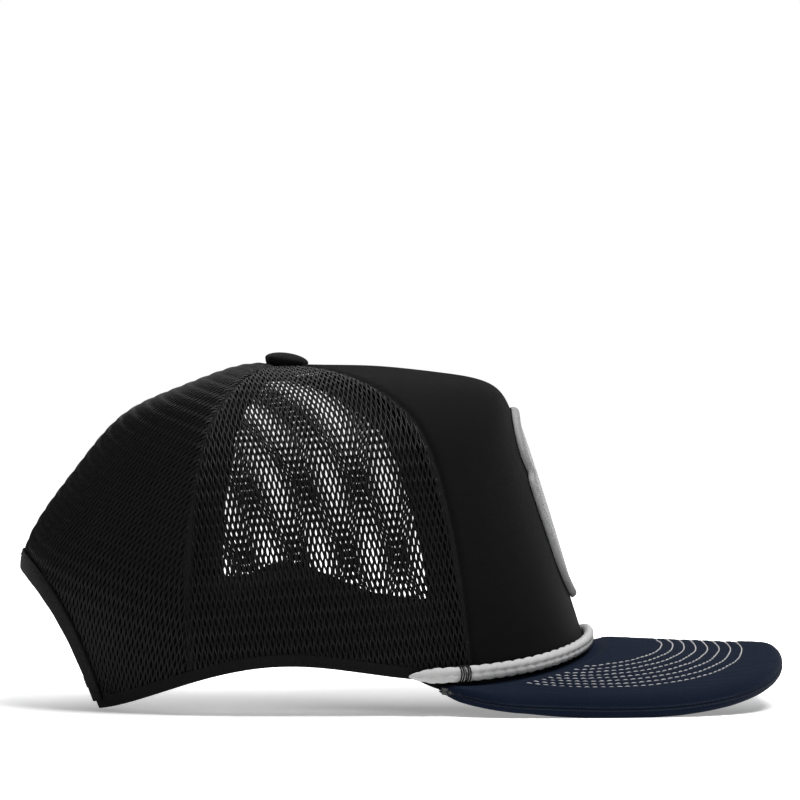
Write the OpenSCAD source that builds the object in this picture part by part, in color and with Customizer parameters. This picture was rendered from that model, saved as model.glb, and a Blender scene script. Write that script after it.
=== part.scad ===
/* [Crown] */
// Height of the cloth at the middle of the crown
crown_h = 124.3; // [110:0.5:140]
// Distance of the crown's middle behind the middle of the whole cap
crown_back = 42; // [36:0.5:48]
// Reach of the crown from its middle to the foot of the front panel
front_reach = 111; // [100:1:125]
// Half width of the crown at its foot
side_reach = 80; // [70:1:92]
// Reach of the crown from its middle to the rear floor line
back_reach = 77; // [70:1:86]
// Squareness of the front half, seen from above
front_square = 2.9; // [2.2:0.1:3.4]
// Squareness of the rear half, seen from above
back_square = 2.2; // [2:0.1:2.8]
// Backward sweep of the seams towards the top, in degrees
seam_sweep = 7; // [0:0.5:12]
// Direction of the seam between front panel and side mesh, in degrees from the front
front_seam = 47; // [42:0.5:52]
// Direction of the seam between side mesh and back mesh
side_seam = 113; // [105:0.5:120]
// Thickness of the front cloth
cloth_t = 0.9; // [0.6:0.1:1.4]
// Thickness of the foam behind the front cloth
foam_t = 2.8; // [1.5:0.1:4]
// Thickness of the knitted mesh
mesh_t = 0.8; // [0.6:0.1:1.2]
// Thickness of tapes and linings
tape_t = 0.6; // [0.4:0.1:1]
// Width of the tape behind each front seam
front_tape_w = 11; // [8:0.5:14]
// Half width of the tapes behind the other seams
seam_tape_w = 6; // [4:0.5:8]

/* [Back opening] */
// Height of the arch
arch_h = 50; // [40:1:60]
// Half of the angle that the arch spans, in degrees
arch_a = 34; // [28:0.5:38]
// Squareness of the arch
arch_square = 2.6; // [2:0.1:3.4]
// Width of the binding on each side of the arch edge
binding_w = 6; // [4:0.5:9]
// Thickness of the binding cloth
binding_t = 0.6; // [0.4:0.1:1]

/* [Sweatband] */
// Height of the sweatband
sweatband_h = 32; // [25:1:38]
// Thickness of the sweatband
sweatband_t = 1.2; // [0.8:0.1:2]

/* [Bill] */
// Reach of the bill's tip from the middle of the crown
bill_reach = 182; // [165:1:200]
// Half width of the bill
bill_half_w = 87; // [76:1:98]
// Radius of the bill's side-to-side curve
bill_curve_r = 240; // [180:5:320]
// Squareness of the bill's outline
bill_square = 3.1; // [2.2:0.1:3.6]
// Height of the bill's middle layer at the crown
bill_rise = 19.3; // [15:0.1:24]
// Fall of the bill towards its tip, per millimetre
bill_fall = 0.04; // [0:0.005:0.08]
// Thickness of the whole bill
bill_t = 8; // [6:0.5:11]
// Thickness of the stiff board in the bill
board_t = 2.4; // [1.5:0.1:3]
// Distance of the outer stitching row from the bill's edge
stitch_margin = 15; // [10:0.5:20]
// Distance between stitching rows
stitch_pitch = 4.26; // [3:0.02:6]
// Number of stitching rows
stitch_rows = 8; // [4:1:9]

/* [Rope] */
// Height of the rope
rope_h = 5.6; // [4:0.1:8]
// Thickness of the rope
rope_t = 4; // [3:0.1:6]
// Direction of the rope's ends, in degrees from the front
rope_end = 60; // [54:0.5:64]

/* [Button] */
// Diameter of the covered button
button_d = 16; // [12:0.5:20]
// Height of the button's dome
button_h = 2.7; // [2:0.1:5]
// Forward tilt of the button, in degrees
button_tilt = 8; // [0:1:12]
// Diameter of the rivet's shank
shank_d = 3.6; // [2.5:0.1:4.2]

/* [Patch] */
// Half width of the patch
patch_half_w = 31; // [22:1:38]
// Half height of the patch
patch_half_h = 37; // [26:1:38]
// Height of the patch's centre above the floor
patch_z = 73; // [66:1:76]
// Thickness of the patch
patch_t = 1.3; // [0.8:0.1:2]
// Width of the patch's raised border
border_w = 3.6; // [2:0.2:5]

/* [Snap straps] */
// Height of the straps
strap_h = 16; // [12:0.5:20]
// Thickness of the straps
strap_t = 1.2; // [0.9:0.1:1.8]
// Outward bow of the straps between their roots
strap_bow = 4; // [3:0.5:8]
// Distance from snap to snap
snap_pitch = 9.5; // [8:0.1:11]
// Diameter of the pegs
peg_d = 4.4; // [3.6:0.1:5]
// Diameter of the holes
hole_d = 5.6; // [5.2:0.1:6.4]

/* [Hidden] */
black = "#17181a";
navy = "#1d3557";
white = "#e9e9e6";

// Running space between layers and between loose pieces
lay = 0.25;
// Radius at which the panels stop under the button
eye_r = shank_d / 2 + 0.7;

// Profiles from the crown's middle down to its foot, as shares of reach and height
front_ctrl = [[eye_r, 1], [28, 0.997], [58, 0.975], [79.8, 0.952], [84.3, 0.832], [92.4, 0.627],
              [101, 0.41], [front_reach, 0]];
side_ctrl = [[eye_r, 1], [18, 0.991], [38, 0.945], [58, 0.832], [69.5, 0.66], [76, 0.467],
             [79, 0.29], [side_reach, 0]];
back_ctrl = [[eye_r, 1], [16, 1.012], [40, 0.932], [62, 0.867], [77, 0.7], [94, 0.531],
             [102, 0.354], [back_reach, 0]];
foot_ctrl = [0, 0, 0, 0, 0, 0, 0, 1];
// Height of the crown's foot round the cap, as waves of one to four turns
foot_wave = [10.34, 8.04, -3.875, 1.61, 3.19];

function unit(v) = v / norm(v);
function lerp(a, b, u) = a + (b - a) * u;
function flip_y(p) = [p[0], -p[1], p[2]];

// Uniform cubic B-spline that starts and ends on its first and last values
function ctrl(c, k) = k < 0 ? 2 * c[0] - c[1] : k > len(c) - 1 ? 2 * c[k - 1] - c[k - 2] : c[k];
function spline(c, t) =
    let (s = min(max(t, 0), 1) * (len(c) - 1), i = min(floor(s), len(c) - 2), u = s - i)
    (pow(1 - u, 3) * ctrl(c, i - 1) + (3 * pow(u, 3) - 6 * u * u + 4) * ctrl(c, i)
     + (1 + 3 * u + 3 * u * u - 3 * pow(u, 3)) * ctrl(c, i + 1) + pow(u, 3) * ctrl(c, i + 2)) / 6;

// A profile's widths follow its own reach, and its heights the crown's height
function share(c, reach, t) =
    let (p = spline(c, t), last = c[len(c) - 1][0]) [p[0] * reach / last, p[1] * crown_h];
function foot_z(a) =
    foot_wave[0] + foot_wave[1] * cos(a) + foot_wave[2] * cos(2 * a) + foot_wave[3] * cos(3 * a)
    + foot_wave[4] * cos(4 * a);

// Radius and height of the crown's outer face in direction a, at share t from top to foot
function meridian(a, t) =
    let (fore = abs(a) < 90, n = fore ? front_square : back_square,
         p = fore ? share(front_ctrl, front_reach, t) : share(back_ctrl, back_reach, t),
         q = share(side_ctrl, side_reach, t),
         r = pow(pow(abs(cos(a)) / p[0], n) + pow(abs(sin(a)) / q[0], n), -1 / n),
         w = pow(abs(cos(a)) * r / p[0], n))
    [r, w * p[1] + (1 - w) * q[1] + foot_z(a) * spline(foot_ctrl, t)];
function crown_point(a, t) =
    let (m = meridian(a, t), b = a + sign(a) * seam_sweep * (1 - t) * pow(sin(a), 2))
    [m[0] * cos(b) - crown_back, m[0] * sin(b), m[1]];
// Outward normal of the crown
function crown_normal(a, t) =
    let (h = 0.004, k = 0.4, t0 = max(t - h, 0), t1 = min(t + h, 1))
    unit(cross(crown_point(a, t1) - crown_point(a, t0), crown_point(a + k, t) - crown_point(a - k, t)));
function crown(a, t, d) = crown_point(a, t) + d * crown_normal(a, t);
// Share t at which the outer face has height z, found by halving
function share_at(a, z, lo = 0.2, hi = 1, n = 16) =
    n == 0 ? (lo + hi) / 2
    : let (mid = (lo + hi) / 2)
      meridian(a, mid)[1] > z ? share_at(a, z, mid, hi, n - 1) : share_at(a, z, lo, mid, n - 1);

// Arch edge: u runs from -90 at one foot to 90 at the other, grow moves it outwards
arch_step = 0.72;
arch_foot = 0.99;
function arch_angle(u, grow) = (arch_a + grow * arch_step) * pow(abs(sin(u)), 2 / arch_square);
function arch_z(u, grow) = (arch_h + grow) * pow(max(cos(u), 0), 2 / arch_square);
function arch(u, grow, d) =
    let (a = 180 - max(arch_angle(u, grow), 0.01),
         t = min(arch_foot, share_at(a, max(arch_z(u, grow), foot_z(a)))),
         p = crown(a, t, d))
    u > 0 ? p : flip_y(p);

// Closed shell between two grids of points of the same size
function quad(a, b, c, d) = [[a, b, c], [a, c, d]];
module shell(outer, inner) {
    n = len(outer);
    m = len(outer[0]);
    k = n * m;
    polyhedron(
        points = concat([for (c = outer) each c], [for (c = inner) each c]),
        faces = concat(
            [for (i = [0:n - 2], j = [0:m - 2])
                each quad(i * m + j, (i + 1) * m + j, (i + 1) * m + j + 1, i * m + j + 1)],
            [for (i = [0:n - 2], j = [0:m - 2])
                each quad(k + i * m + j, k + i * m + j + 1, k + (i + 1) * m + j + 1, k + (i + 1) * m + j)],
            [for (i = [0:n - 2]) each quad(i * m, k + i * m, k + (i + 1) * m, (i + 1) * m)],
            [for (i = [0:n - 2])
                each quad(i * m + m - 1, (i + 1) * m + m - 1, k + (i + 1) * m + m - 1, k + i * m + m - 1)],
            [for (j = [0:m - 2]) each quad(j, j + 1, k + j + 1, k + j)],
            [for (j = [0:m - 2])
                each quad((n - 1) * m + j, k + (n - 1) * m + j, k + (n - 1) * m + j + 1, (n - 1) * m + j + 1)]));
}

// Tube through rings of points, closed on itself or capped
module tube(rings, loop = false) {
    n = len(rings);
    m = len(rings[0]);
    last = loop ? n - 1 : n - 2;
    polyhedron(
        points = [for (r = rings) each r],
        faces = concat(
            [for (i = [0:last], j = [0:m - 1])
                let (e = (i + 1) % n, f = (j + 1) % m)
                each quad(i * m + j, e * m + j, e * m + f, i * m + f)],
            loop ? [] : [[for (j = [0:m - 1]) j], [for (j = [m - 1:-1:0]) (n - 1) * m + j]]));
}
function ring(p, a, b, sides) =
    [for (j = [0:sides - 1]) p + a * cos((j + 0.5) * 360 / sides) + b * sin((j + 0.5) * 360 / sides)];

// Piece of crown between directions a0 and a1, shares t0 and t1, and depths d0 and d1
function crown_grid(a0, a1, t0, t1, d, n, m) =
    [for (i = [0:n]) [for (j = [0:m]) crown(lerp(a0, a1, i / n), lerp(t0, t1, j / m), d)]];
module crown_piece(a0, a1, t0, t1, d0, d1, n, m) {
    shell(crown_grid(a0, a1, t0, t1, d1, n, m), crown_grid(a0, a1, t0, t1, d0, n, m));
}

// Gap on each side of a seam, in degrees
seam_gap = 0.12;
foam_back = cloth_t + lay;
foam_front = foam_back + foam_t;

module front_panel() {
    color(black) crown_piece(-front_seam + seam_gap, front_seam - seam_gap, 0, 1, -cloth_t, 0, 28, 24);
}

module front_foam() {
    edge = front_seam - 3;
    color("#2a2b2d") crown_piece(-edge, edge, 0.1, 0.985, -foam_front, -foam_back, 20, 20);
}

module side_mesh(s) {
    color(black)
        crown_piece(s * (s > 0 ? front_seam : side_seam) + seam_gap,
                    s * (s > 0 ? side_seam : front_seam) - seam_gap, 0, 1, -mesh_t, 0, 14, 16);
}

// Back mesh: columns run straight to the foot, then up along the arch edge
back_cols = 5;
arch_cols = 14;
function back_column(a, t1, s, d, m) =
    [for (j = [0:m]) let (p = crown(a, t1 * j / m, d)) s > 0 ? p : flip_y(p)];
function back_grid(s, d, start, m, end) =
    let (fore = [for (i = [0:back_cols - 1]) back_column(lerp(start, 180 - arch_a, i / back_cols), 1, s, d, m)],
         rear = [for (i = [0:arch_cols])
                    let (u = 90 * (1 - i / arch_cols), a = 180 - max(arch_angle(u, 0), end),
                         t = i == 0 ? 1 : share_at(a, max(arch_z(u, 0), foot_z(a))))
                    back_column(a, t, s, d, m)],
         all = concat(fore, rear), n = len(all))
    s > 0 ? all : [for (i = [n - 1:-1:0]) all[i]];
module back_shell(s, d0, d1, m) {
    shell(back_grid(s, d1, side_seam + seam_gap, m, seam_gap),
          back_grid(s, d0, side_seam + seam_gap, m, seam_gap));
}

module back_mesh(s) {
    color(black) back_shell(s, -mesh_t, 0, 20);
}

lining_back = mesh_t + 2 * lay + 0.1;
lining_t = 0.3;
// Lining behind each back mesh, short of the tapes and of the binding
module back_lining(s) {
    a0 = side_seam + 5;
    a1 = 180 - 5;
    n = 12;
    m = 12;
    function low(a) =
        let (w = (180 - a) / (arch_a + 9))
        w >= 1 ? share_at(a, foot_z(a) + 6) : share_at(a, max((arch_h + 9) * pow(1 - pow(w, arch_square),
                                                              1 / arch_square), foot_z(a) + 6));
    function grid(d) =
        [for (i = [0:n]) let (a = lerp(a0, a1, i / n))
            [for (j = [0:m]) let (p = crown(a, lerp(0.16, low(a), j / m), d)) s > 0 ? p : flip_y(p)]];
    function turned(g) = s > 0 ? g : [for (i = [n:-1:0]) g[i]];
    color(black) shell(turned(grid(-lining_back)), turned(grid(-lining_back - lining_t)));
}

tape_back = max(foam_front, lining_back + lining_t) + lay;
side_back = lining_back + lining_t + 2 * lay;
// Tape along direction a, reaching w0 and w1 to its sides
function tape_point(a, t, w, d) = crown(a + w / meridian(a, t)[0] * 180 / PI, t, d);
module tape(a, w0, w1, d, t0, t1) {
    m = 18;
    function grid(e) =
        [for (i = [0:2]) [for (j = [0:m]) tape_point(a, lerp(t0, t1, j / m), lerp(w0, w1, i / 2), e)]];
    color(black) shell(grid(-d), grid(-d - tape_t));
}

band_back = tape_back + tape_t + lay;
band_end = 180 - arch_a - 10;
// Share at which the sweatband's upper edge lies
function band_top(a) = share_at(a, foot_z(a) + sweatband_h);
module sweatband() {
    n = 64;
    m = 3;
    function grid(d) =
        [for (i = [0:n]) let (a = lerp(-band_end, band_end, i / n))
            [for (j = [0:m]) crown(a, lerp(band_top(a), 0.992, j / m), d)]];
    color("#1c1c1e") shell(grid(-band_back), grid(-band_back - sweatband_t));
}

// Binding folded round the arch edge: a C-shaped section carried along it
module arch_binding() {
    gap = 2 * lay;
    skin = gap + binding_t;
    section = [[binding_w, skin], [-skin, skin], [-skin, -mesh_t - skin], [binding_w, -mesh_t - skin],
               [binding_w, -mesh_t - gap], [-gap, -mesh_t - gap], [-gap, gap], [binding_w, gap]];
    color(black)
        tube([for (i = [-arch_cols:arch_cols]) let (u = 90 * i / arch_cols) [for (p = section) arch(u, p[0], p[1])]]);
}

// Bill: middle layer height, inner edge on the crown, outer edge as a square-shouldered curve
function bill_z(x, y) =
    bill_rise - bill_fall * (x + crown_back - front_reach)
    - (bill_curve_r - sqrt(pow(bill_curve_r, 2) - y * y));
bill_root = 54;
bill_turn = 116;
bill_centre = front_reach - crown_back - 25;
bill_front = bill_reach - crown_back - bill_centre;
bill_rear = 60;
function signed_pow(v, e) = sign(v) * pow(abs(v), e);
function bill_inner(u) =
    let (a = bill_root * u, g = crown_point(a, share_at(a, bill_rise - 14 * u * u)), o = unit([g[0] + crown_back, g[1], 0]))
    [g[0] + o[0] * 2 * lay, g[1] + o[1] * 2 * lay];
function bill_outer(u) =
    let (a = bill_turn * u, c = cos(a))
    [bill_centre + (c > 0 ? bill_front * signed_pow(c, 2 / bill_square) : bill_rear * c),
     bill_half_w * (c > 0 ? signed_pow(sin(a), 2 / bill_square) : sin(a))];
// Point of the bill at distance s from its outer edge and height h above its middle layer
function bill_width(u) = norm(bill_outer(u) - bill_inner(u));
function bill_point(u, s, h) =
    let (p = lerp(bill_outer(u), bill_inner(u), s / bill_width(u))) [p[0], p[1], bill_z(p[0], p[1]) + h];
bill_n = 44;
bill_us = [for (i = [-bill_n / 2:bill_n / 2]) let (v = 2 * i / bill_n) sign(v) * pow(abs(v), 0.9)];
bill_rim = 4;
seam_room = 4.2;
swell_room = 9;
pinch_h = 1.7;
cover_gap = 0.1;
function bill_scale(w) = min(1, 0.45 * w / swell_room);
function bill_half_t(w) = lerp(pinch_h + 0.2, bill_t / 2, min(1, w / 25));
function bill_skin(w) =
    let (k = bill_scale(w), rim = bill_rim * k, full = bill_half_t(w), a = w - swell_room * k)
    [[w, pinch_h], [w - 3.6 * k, pinch_h], [w - 6 * k, lerp(pinch_h, full, 0.6)], [a, full],
     [lerp(a, rim, 0.33), full], [lerp(a, rim, 0.66), full], [rim, full],
     [rim / 2, lerp(0.5, full, 0.866)], [rim * 0.134, lerp(0.5, full, 0.5)], [0, 0.5]];
function bill_seat(w) =
    let (k = bill_scale(w), rim = bill_rim * k, top = board_t / 2 + lay, a = w - swell_room * k)
    [[w, cover_gap], [w - seam_room * k, cover_gap], [w - seam_room * k, top], [a, top],
     [lerp(a, rim, 0.33), top], [lerp(a, rim, 0.66), top], [rim, top], [rim * 0.75, top],
     [rim * 0.75, cover_gap], [0, cover_gap]];
function bill_grid(side, skin) =
    [for (u = bill_us) let (w = bill_width(u)) [for (c = (skin ? bill_skin(w) : bill_seat(w))) bill_point(u, c[0], side * c[1])]];

module bill_top() {
    // The zeros keep its size, and hand the cover on as one closed mesh
    color(navy) resize([0, 0, 0]) shell(bill_grid(1, true), bill_grid(1, false));
}

module bill_under() {
    color(navy) shell(bill_grid(-1, false), bill_grid(-1, true));
}

module bill_board() {
    inset = 2 * lay;
    function grid(h) =
        [for (u = bill_us)
            let (w = bill_width(u), k = bill_scale(w))
            [for (j = [0:4])
                bill_point(u, lerp(w - (seam_room + inset) * k, (bill_rim * 0.75 + inset) * k, j / 4), h)]];
    color("#30353d") shell(grid(board_t / 2), grid(-board_t / 2));
}

// Rows of thread parallel to the bill's edge
thread_w = 0.6;
thread_h = 0.4;
function bill_row(s) = [for (v = [-22:22]) let (u = v / 24) if (bill_width(u) > s + swell_room + 1) u];
module bill_stitching() {
    z0 = bill_t / 2 + lay;
    color(white)
        for (k = [0:stitch_rows - 1]) {
            s = stitch_margin + k * stitch_pitch;
            us = bill_row(s);
            tube([for (u = us)
                [bill_point(u, s + thread_w / 2, z0), bill_point(u, s + thread_w / 2, z0 + thread_h),
                 bill_point(u, s - thread_w / 2, z0 + thread_h), bill_point(u, s - thread_w / 2, z0)]]);
        }
}

// Rope along the foot of the front panel, lying in the groove above the bill
rope_lift = pinch_h + lay + rope_h / 2 + 0.2;
function rope_z(a) =
    let (p = crown_point(a, share_at(a, foot_z(a) + rope_lift))) bill_z(p[0], p[1]) + rope_lift;
function rope_centre(a) = crown(a, share_at(a, rope_z(a)), rope_t / 2 + lay);
module rope() {
    n = 44;
    color(white)
        tube([for (i = [0:n])
            let (a = lerp(-rope_end, rope_end, i / n), o = unit([cos(a), sin(a), 0]))
            ring(rope_centre(a), o * rope_t / 2, [0, 0, -rope_h / 2], 10)]);
}

// Thread tacks that hold the rope near its ends
tack_at = 52;
module tack(a) {
    wrap = 0.35;
    half_w = 0.5;
    o = unit([cos(a), sin(a), 0]);
    side = unit([-sin(a), cos(a), 0]);
    c = rope_centre(a) + o * 0.2;
    inside = [rope_t / 2 + lay, rope_h / 2 + lay];
    outside = inside + [wrap, wrap];
    function edge(r, w) = [for (b = [-80:16:80]) c + o * r[0] * cos(b) + [0, 0, r[1] * sin(b)] + side * w];
    shell([edge(outside, -half_w), edge(outside, half_w)], [edge(inside, -half_w), edge(inside, half_w)]);
}
module rope_tacks() {
    color(black)
        for (s = [-1, 1], k = [0, 1]) tack(s * (tack_at + k * 1.6));
}

// Covered button on its rivet
button_lift = 1.5;
button_foot = 1.2;
module at_button() {
    translate([-crown_back, 0, crown_h + button_lift]) rotate([0, button_tilt, 0]) children();
}

module button() {
    r = button_d / 2;
    color(black)
        at_button()
            rotate_extrude($fn = 48)
                polygon(concat([[0, 0], [r - 0.8, 0], [r, 0.5]],
                               [for (b = [0:7.5:82.5]) [r * cos(b), button_foot + (button_h - button_foot) * sin(b)]],
                               [[0, button_h]]));
}

// The rivet stands in the eye of the panels and holds them with a washer inside
module button_rivet() {
    washer_r = button_d / 2 - 1;
    drop = foam_front + tape_t + lay * 4;
    color("#6d6f73") {
        translate([-crown_back, 0, crown_h - drop]) cylinder(h = drop, d = shank_d, $fn = 32);
        translate([-crown_back, 0, crown_h - drop - 1]) cylinder(h = 1, r = washer_r, $fn = 48);
    }
}

// Point on the front panel, p to the left and q up from the patch's centre
function on_front(p, q, d) =
    let (z = patch_z + q * 0.95, t = share_at(0, z), a = asin(min(0.9, p / (meridian(0, t)[0] + 3))))
    crown(a, share_at(a, z), d);
// Outline of the patch: a square-shouldered oval with a notch below each upper corner
patch_power = 3.4;
function patch_edge(b, grow) =
    let (c = cos(b) / (patch_half_w + grow), s = sin(b) / (patch_half_h + grow),
         r = pow(pow(abs(c), patch_power) + pow(abs(s), patch_power), -1 / patch_power),
         notch = 1 - 0.09 * exp(-pow((asin(sin(b)) - 24) / 6, 2)))
    [r * cos(b), r * sin(b)] * notch;
patch_n = 44;
patch_seat = 0.4;
module patch() {
    function grid(d) =
        [for (i = [0:patch_n - 1])
            let (e = patch_edge(-i * 360 / patch_n, -border_w - lay))
            [for (k = [0.04, 0.5, 1]) on_front(e[0] * k, e[1] * k, d + patch_seat)]];
    function loop_faces(n, m, k) = concat(
        [for (i = [0:n - 1], j = [0:m - 2]) let (e = (i + 1) % n)
            each quad(i * m + j, e * m + j, e * m + j + 1, i * m + j + 1)],
        [for (i = [0:n - 1], j = [0:m - 2]) let (e = (i + 1) % n)
            each quad(k + i * m + j, k + i * m + j + 1, k + e * m + j + 1, k + e * m + j)],
        [for (i = [0:n - 1]) let (e = (i + 1) % n)
            each quad(i * m + m - 1, e * m + m - 1, k + e * m + m - 1, k + i * m + m - 1)],
        [for (i = [0:n - 1]) [i * m, k * 2, ((i + 1) % n) * m]],
        [for (i = [0:n - 1]) [k + i * m, k + ((i + 1) % n) * m, k * 2 + 1]]);
    outer = [for (c = grid(patch_t)) each c];
    inner = [for (c = grid(0)) each c];
    color("#d5d6d4")
        polyhedron(points = concat(outer, inner, [on_front(0, 0, patch_seat + patch_t), on_front(0, 0, patch_seat)]),
                   faces = loop_faces(patch_n, 3, len(outer)));
}

module patch_border() {
    swell = patch_t + 0.7;
    color(white)
        tube([for (i = [0:patch_n - 1])
            let (b = i * 360 / patch_n, e = patch_edge(b, 0), f = patch_edge(b, -border_w))
            [for (k = [[0, 0], [0, 0.6], [0.25, 1], [0.75, 1], [1, 0.6], [1, 0]])
                on_front(lerp(e[0], f[0], k[0]), lerp(e[1], f[1], k[0]), patch_seat + swell * k[1])]],
            loop = true);
}

// Frame of the snap straps: they stand on the line between the arch's feet and lean back with it
tab_depth = lining_back + 2.3;
hinge_a = 180 - arch_a + 1.9;
hinge_lo = crown(hinge_a, share_at(hinge_a, 2), -tab_depth);
hinge_hi = crown(hinge_a, share_at(hinge_a, 2 + strap_h), -tab_depth);
strap_lean = atan((hinge_lo[0] - hinge_hi[0]) / (hinge_hi[2] - hinge_lo[2]));
strap_half = (hinge_lo[1] + hinge_hi[1]) / 2;
strap_r = (pow(strap_half, 2) + pow(strap_bow, 2)) / (2 * strap_bow);
strap_root = asin(strap_half / strap_r);
strap_lift = 0.5;
strap_z = strap_lift + (strap_bow + strap_t) * sin(strap_lean);
module strap_frame() {
    translate([hinge_lo[0], 0, strap_z]) rotate([0, -strap_lean, 0])
        translate([strap_r - strap_bow, 0, 0]) children();
}
// Distances of the two straps' middles from their common centre
strap_gap = 0.3;
outer_r = strap_r + (strap_t + strap_gap) / 2;
inner_r = strap_r - (strap_t + strap_gap) / 2;
nose_gap = 0.9;
nose_d = strap_t - 0.1;
free_end = 2.65 * snap_pitch;

// Outline of the strap sewn at side s, with rounded corners at its free end
module strap_outline(s) {
    corner = 5;
    body = strap_half + 1 + free_end - corner;
    translate([s > 0 ? corner - free_end : -strap_half - 1, 0]) square([body, strap_h]);
    translate([s > 0 ? -free_end : 0, corner]) square([free_end, strap_h - 2 * corner]);
    for (z = [corner, strap_h - corner]) translate([s * (corner - free_end), z]) circle(r = corner, $fn = 32);
}

// Curved strip at radius r from the root at side s to its free end, with a round root edge
module strap_strip(r, s) {
    end = asin((free_end + 1) / r);
    nose = asin(strap_half / r);
    a0 = s > 0 ? 180 - nose : 180 - end;
    intersection() {
        rotate([0, 0, a0])
            rotate_extrude(angle = nose + end, $fn = 180)
                translate([r - strap_t / 2, 0]) square([strap_t, strap_h]);
        translate([-r - 10, 0, 0]) rotate([90, 0, 90]) linear_extrude(height = 30) strap_outline(s);
    }
    translate([-r * cos(nose), s * r * sin(nose), 0]) cylinder(h = strap_h, d = nose_d, $fn = 24);
}

snap_z = strap_h / 2;
module snaps_at(s, n0, n1) {
    for (k = [n0:n1])
        rotate([0, 0, 180 - asin(k * snap_pitch / strap_r)]) translate([strap_r, 0, snap_z])
            rotate([0, 90, 0]) children();
}

// Outer strap, sewn at the wearer's left, with the holes
module hole_strap() {
    color("#1e1f21")
        strap_frame()
            difference() {
                strap_strip(outer_r, 1);
                snaps_at(1, -2, 3) translate([0, 0, -3]) cylinder(h = 8, d = hole_d, $fn = 32);
            }
}

// Inner strap, sewn at the wearer's right, with the pegs
peg_reach = strap_gap / 2 + strap_gap + strap_t + 0.7;
module peg_strap() {
    color("#1e1f21")
        strap_frame()
            union() {
                strap_strip(inner_r, -1);
                snaps_at(-1, -3, 2) translate([0, 0, -strap_gap / 2 - strap_t / 2]) {
                    cylinder(h = strap_t / 2 + peg_reach - 0.4, d = peg_d, $fn = 32);
                    translate([0, 0, strap_t / 2 + peg_reach - 0.4])
                        cylinder(h = 0.4, d1 = peg_d, d2 = peg_d - 0.8, $fn = 32);
                }
            }
}

// Sewn end of each strap, lying inside the foot of the back mesh
module strap_tab(s, r) {
    depth = tab_depth + (strap_r - r);
    a1 = hinge_a - asin((nose_d / 2 + nose_gap) / side_reach) - 0.45;
    a0 = a1 - 8;
    n = 4;
    function grid(d) =
        [for (i = [0:n]) let (a = lerp(a0, a1, i / n))
            [for (j = [0:3]) let (p = crown(a, share_at(a, lerp(2 + strap_h * 0.88, 2, j / 3)), d)) s > 0 ? p : flip_y(p)]];
    function turned(g) = s > 0 ? g : [for (i = [n:-1:0]) g[i]];
    color("#1e1f21") shell(turned(grid(-depth + strap_t / 2)), turned(grid(-depth - strap_t / 2)));
}

// Blank size label folded over the sweatband at the left rear
module inner_label() {
    a = -128;
    d = band_back + sweatband_t + lay;
    function grid(e) =
        [for (i = [0:4]) [for (j = [0:3])
            crown(a + (i - 2) * 3.4, share_at(a, lerp(26, 12, j / 3) + foot_z(a) - 2), e)]];
    color("#f0f0ee") shell(grid(-d), grid(-d - 0.3));
}

tape_top = 0.22;
front_panel();
front_foam();
side_mesh(-1);  // side_mesh_right
side_mesh(1);  // side_mesh_left
back_mesh(-1);  // back_mesh_right
back_mesh(1);  // back_mesh_left
back_lining(-1);  // back_lining_right
back_lining(1);  // back_lining_left
tape(-front_seam, -front_tape_w, 2, tape_back, tape_top, 0.985);  // front_tape_right
tape(front_seam, -2, front_tape_w, tape_back, tape_top, 0.985);  // front_tape_left
tape(-side_seam, -seam_tape_w, seam_tape_w, side_back, tape_top, 0.985);  // side_tape_right
tape(side_seam, -seam_tape_w, seam_tape_w, side_back, tape_top, 0.985);  // side_tape_left
tape(180, -seam_tape_w, seam_tape_w, side_back, tape_top, 0.6);  // back_tape
sweatband();
arch_binding();
bill_top();
bill_board();
bill_under();
bill_stitching();
rope();
rope_tacks();
button();
button_rivet();
patch();
patch_border();
hole_strap();
peg_strap();
strap_tab(1, outer_r);  // hole_strap_tab
strap_tab(-1, inner_r);  // peg_strap_tab
inner_label();
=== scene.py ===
# %% [markdown]
# A trucker cap is a stiff cloth front over foam, four knitted mesh panels, a curved bill and two snap
# straps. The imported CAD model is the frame: it fixes where every part lies and how the straps move.
# Here each visible part is drawn again at cloth scale, in the same place, so we load the frame first.

# %% Load the frame
import math

import bpy
import numpy as np
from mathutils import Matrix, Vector


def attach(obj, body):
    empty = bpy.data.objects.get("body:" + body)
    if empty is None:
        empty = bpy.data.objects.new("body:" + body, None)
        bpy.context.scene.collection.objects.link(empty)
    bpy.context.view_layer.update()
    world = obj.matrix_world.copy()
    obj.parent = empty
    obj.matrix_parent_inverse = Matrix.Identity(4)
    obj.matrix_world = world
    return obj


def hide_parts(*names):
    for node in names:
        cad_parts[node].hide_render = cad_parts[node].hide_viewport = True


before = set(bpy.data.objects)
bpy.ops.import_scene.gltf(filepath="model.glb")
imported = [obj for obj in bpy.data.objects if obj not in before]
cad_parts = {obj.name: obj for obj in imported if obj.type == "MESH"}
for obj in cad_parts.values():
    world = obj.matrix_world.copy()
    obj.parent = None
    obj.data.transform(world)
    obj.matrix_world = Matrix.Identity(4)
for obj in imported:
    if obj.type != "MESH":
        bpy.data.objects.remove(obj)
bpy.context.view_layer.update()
MM = 0.001

# %% [markdown]
# The camera stands level, at the height of the crown's middle and a long way off, as for a catalogue
# picture: a long lens keeps the bill and the crown in their true proportions.

# %% Camera
scene = bpy.context.scene
camera = bpy.data.objects.new("camera", bpy.data.cameras.new("camera"))
camera.data.lens = 176
camera.data.sensor_width = 36
camera.data.clip_end = 50
camera.location = (0, -1.45, 0.111)
camera.rotation_euler = (math.radians(90), 0, 0)
scene.collection.objects.link(camera)
scene.camera = camera
print("camera at", tuple(camera.location))

# %% [markdown]
# A product studio is a white sweep under very large lamps. The world is white to the camera but dimmer
# as a lamp, so that black cloth keeps its folds. One wide lamp hangs above and in front, a weaker one
# fills the shaded side, and a third one glances over the crown from behind.

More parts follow.
